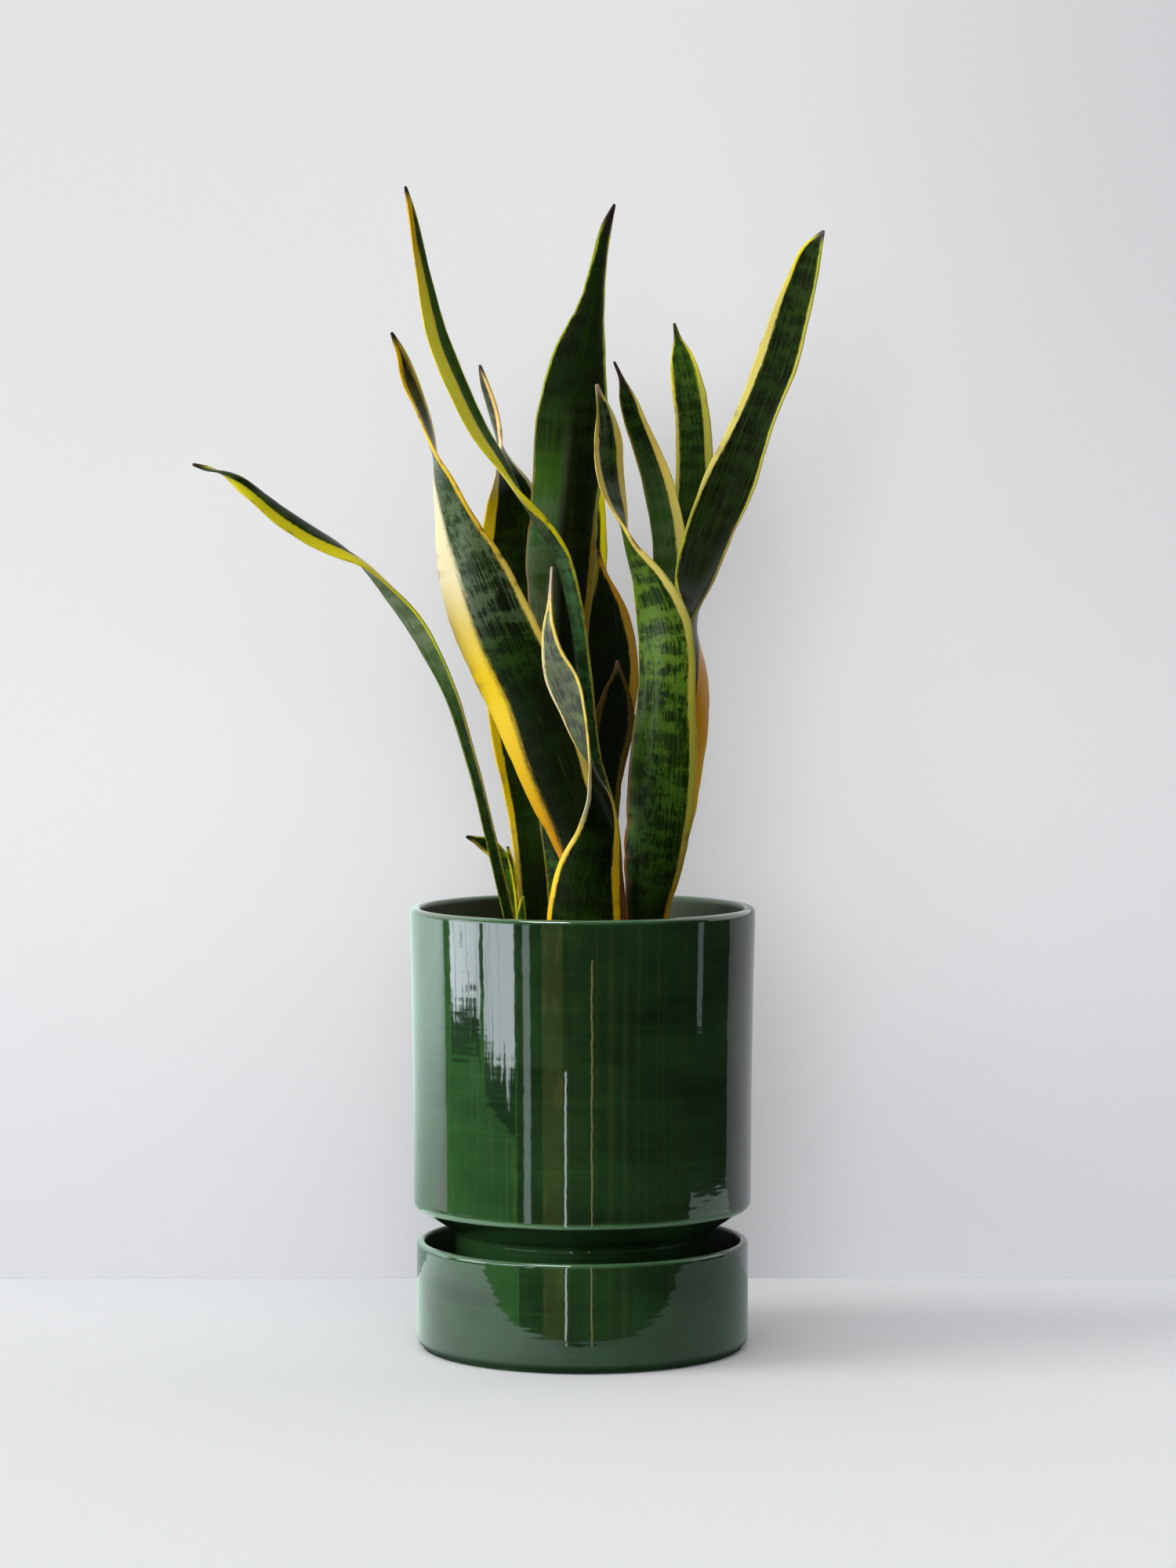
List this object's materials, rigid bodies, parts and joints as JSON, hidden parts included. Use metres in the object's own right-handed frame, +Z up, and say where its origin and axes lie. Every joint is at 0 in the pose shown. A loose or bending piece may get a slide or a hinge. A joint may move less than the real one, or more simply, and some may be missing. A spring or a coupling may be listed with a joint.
{
  "type": "potted laurentii snake plant",
  "caption": "Snake plant with tall twisting green leaves and yellow margins, in soil in a glazed green cylinder pot whose narrow foot stands in a deep saucer.",
  "frame": {"origin": "centre of the saucer's flat underside", "axes": "+Z up along the pot's axis; -Y towards the viewer of the picture, +X to the viewer's right"},
  "size_m": [0.3235, 0.1794, 0.5972],
  "materials": {
    "glaze": "glossy translucent green glaze",
    "soil": "crumbly damp potting soil",
    "leaf": "waxy dark green blade with grey-green bands and yellow margins",
    "young_leaf": "waxy light green",
    "dry_leaf": "dry papery brown"
  },
  "bodies": {
    "root": {"saucer": "glaze", "pot": "glaze", "soil": "soil", "leaf_far_left": "leaf", "leaf_broad_left": "leaf", "leaf_tall_left": "leaf", "leaf_back_left": "leaf", "leaf_tall_middle": "leaf", "leaf_front_short": "leaf", "leaf_front_right": "leaf", "leaf_long_right": "leaf", "leaf_back_right": "leaf", "leaf_rear_right": "leaf", "leaf_behind_middle": "leaf", "leaf_small_middle": "leaf", "leaf_hidden_back": "leaf", "pup_leaf_outer": "young_leaf", "pup_leaf_inner": "young_leaf", "pup_sheath": "young_leaf", "dry_sheath": "dry_leaf"}
  },
  "joints": []
}
